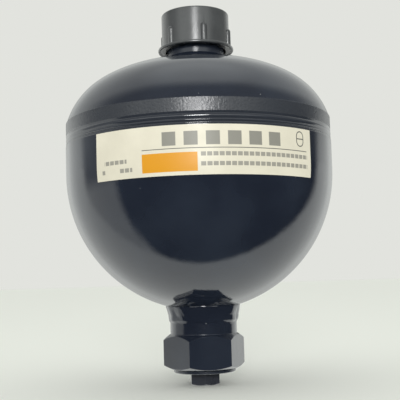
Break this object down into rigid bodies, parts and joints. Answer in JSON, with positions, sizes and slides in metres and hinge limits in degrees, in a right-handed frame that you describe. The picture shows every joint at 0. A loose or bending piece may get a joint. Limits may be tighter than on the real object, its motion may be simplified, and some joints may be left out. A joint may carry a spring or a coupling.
{
  "type": "diaphragm accumulator",
  "caption": "Round welded hydraulic accumulator: a steel vessel with a rubber diaphragm, a gas boss under a screw cap and a hexagon fluid port closed by a plug.",
  "frame": {"origin": "centre of the sealing face of the fluid port, where a fitting would bear", "axes": "+Z along the axis of the vessel from the fluid port to the gas boss; -Y is the side with the label"},
  "size_m": [0.1553, 0.1555, 0.2179],
  "materials": {
    "shell_paint": "glossy blue-black paint",
    "cap_plastic": "moulded, semi-gloss",
    "label_film": "smooth film",
    "rubber": "matt",
    "bare_steel": "turned and zinc-plated",
    "soft_metal": "soft copper"
  },
  "bodies": {
    "vessel": {"gas_shell": "shell_paint", "fluid_shell": "shell_paint", "girth_weld": "shell_paint", "clamping_ring": "bare_steel", "diaphragm": "rubber", "gas_boss": "shell_paint", "gas_boss_weld": "shell_paint", "charging_seal_washer": "soft_metal", "port_adapter": "shell_paint", "port_weld": "shell_paint", "nameplate_label": "label_film"},
    "cap": {"protective_cap": "cap_plastic"},
    "screw": {"charging_screw": "bare_steel"},
    "valve_plate": {"closing_plate": "bare_steel", "backing_washer": "bare_steel", "plate_rivet": "bare_steel"},
    "plug": {"port_plug": "shell_paint", "port_plug_seal": "rubber"}
  },
  "joints": [
    {"name": "cap_lift", "type": "slide", "parent": "vessel", "child": "cap", "axis": [0, 0, 1], "range_m": [0, 0.03]},
    {"name": "charging_screw_turn", "type": "hinge", "parent": "vessel", "child": "screw", "pos_m": [0, 0, 0.2], "axis": [0, 0, 1], "range_deg": [0, 180]},
    {"name": "diaphragm_travel", "type": "slide", "parent": "vessel", "child": "valve_plate", "axis": [0, 0, 1], "range_m": [0, 0.105], "deforming": ["diaphragm"]},
    {"name": "plug_out", "type": "slide", "parent": "vessel", "child": "plug", "axis": [0, 0, -1], "range_m": [0, 0.02]}
  ]
}
